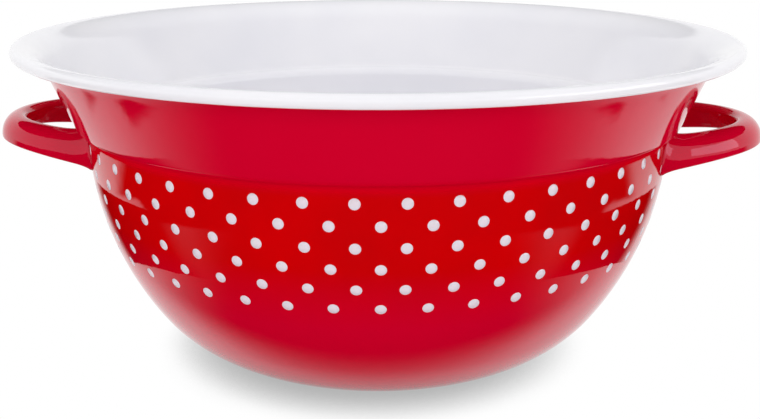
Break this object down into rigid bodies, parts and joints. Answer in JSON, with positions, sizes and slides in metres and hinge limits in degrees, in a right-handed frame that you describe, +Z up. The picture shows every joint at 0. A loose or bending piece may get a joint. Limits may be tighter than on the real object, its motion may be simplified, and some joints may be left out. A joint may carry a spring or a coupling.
{
  "type": "mixing bowl",
  "caption": "Deep round enamelled steel bowl with a stepped wall, a flared brim with a rolled white rim, and a welded loop handle on each side.",
  "frame": {"origin": "under the middle of the base, on the plane that the bowl stands on", "axes": "+X through the middle of the right handle, +Z up along the bowl's axis, -Y towards the viewer"},
  "size_m": [0.349, 0.32, 0.1453],
  "materials": {
    "steel": "bare deep-drawn sheet steel, seen nowhere but at the curl's cut edge",
    "white_enamel": "opaque white fired enamel, high gloss",
    "red_enamel": "opaque red fired enamel, high gloss, with rows of printed white dots",
    "handle_enamel": "pressed sheet steel under red fired enamel, high gloss"
  },
  "bodies": {
    "root": {"steel_shell": "steel", "white_lining": "white_enamel", "red_coat": "red_enamel", "base_coat": "red_enamel", "right_handle": "handle_enamel", "left_handle": "handle_enamel"}
  },
  "joints": []
}
